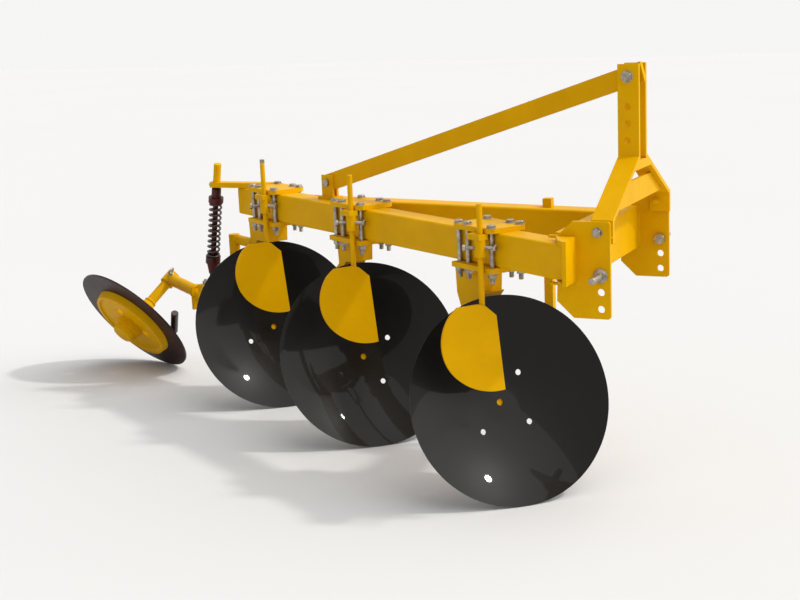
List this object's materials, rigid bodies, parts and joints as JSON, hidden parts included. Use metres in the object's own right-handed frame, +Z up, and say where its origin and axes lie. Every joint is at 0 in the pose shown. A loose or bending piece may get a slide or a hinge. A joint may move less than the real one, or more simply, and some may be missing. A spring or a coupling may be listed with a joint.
{
  "type": "disc plough",
  "caption": "Mounted disc plough: slanting beam with dished discs on hangers, scrapers, A-shaped mast, spring strut and inclined rear furrow wheel.",
  "frame": {"origin": "ground level, centre of the bounding box", "axes": "+X forwards along the line of travel, +Y to the left, +Z up"},
  "size_m": [2.7763, 1.5031, 1.3346],
  "materials": {
    "yellow_paint": "satin paint",
    "disc_black": "gloss black paint",
    "wheel_iron": "black paint",
    "zinc": "zinc plated",
    "spring_steel": "dark paint",
    "strut_brown": "dark red-brown paint"
  },
  "bodies": {
    "frame": {"beam_collar": "yellow_paint", "clamp_bolts": "zinc", "clamp_top_front": "yellow_paint", "clamp_top_middle": "yellow_paint", "clamp_top_rear": "yellow_paint", "cross_tube": "yellow_paint", "inner_beam": "yellow_paint", "main_beam": "yellow_paint", "mast_left": "yellow_paint", "mast_right": "yellow_paint", "mast_spacer": "yellow_paint", "mast_tie": "yellow_paint", "pin_left": "zinc", "pin_right": "zinc", "plate_bolts": "zinc", "plate_left": "yellow_paint", "plate_right": "yellow_paint", "scraper_front": "yellow_paint", "scraper_holder_front": "yellow_paint", "scraper_holder_middle": "yellow_paint", "scraper_holder_rear": "yellow_paint", "scraper_middle": "yellow_paint", "scraper_rear": "yellow_paint", "stand_sleeve": "yellow_paint", "standard_front": "yellow_paint", "standard_middle": "yellow_paint", "standard_rear": "yellow_paint", "stay": "yellow_paint", "stay_bolt": "zinc", "stay_lug": "yellow_paint", "strut_bracket": "yellow_paint", "strut_collar": "strut_brown", "strut_flange": "strut_brown", "strut_rod": "strut_brown", "strut_spring": "spring_steel", "strut_tube": "strut_brown", "top_pin": "zinc", "wheel_arm": "yellow_paint"},
    "disc_front": {"disc_front": "disc_black", "hub_front": "yellow_paint"},
    "disc_middle": {"disc_middle": "disc_black", "hub_middle": "yellow_paint"},
    "disc_rear": {"disc_rear": "disc_black", "hub_rear": "yellow_paint"},
    "furrow_wheel": {"wheel_disc": "wheel_iron", "wheel_hub": "yellow_paint"},
    "parking_stand": {"stand": "yellow_paint"}
  },
  "joints": [
    {"name": "disc_front_turn", "type": "hinge", "parent": "frame", "child": "disc_front", "pos_m": [1.00718, -0.51534, 0.31435], "axis": [0.6448, -0.6974, 0.3128], "continuous": true},
    {"name": "disc_middle_turn", "type": "hinge", "parent": "frame", "child": "disc_middle", "pos_m": [0.31687, -0.08399, 0.31435], "axis": [0.6448, -0.6974, 0.3128], "continuous": true},
    {"name": "disc_rear_turn", "type": "hinge", "parent": "frame", "child": "disc_rear", "pos_m": [-0.25726, 0.27477, 0.31435], "axis": [0.6448, -0.6974, 0.3128], "continuous": true},
    {"name": "furrow_wheel_turn", "type": "hinge", "parent": "frame", "child": "furrow_wheel", "pos_m": [-1.122, 0.5155, 0.2222], "axis": [-0.299, -0.7443, -0.5971], "continuous": true},
    {"name": "stand_slide", "type": "slide", "parent": "frame", "child": "parking_stand", "axis": [0, 0, 1], "range_m": [0, 0.35]}
  ]
}
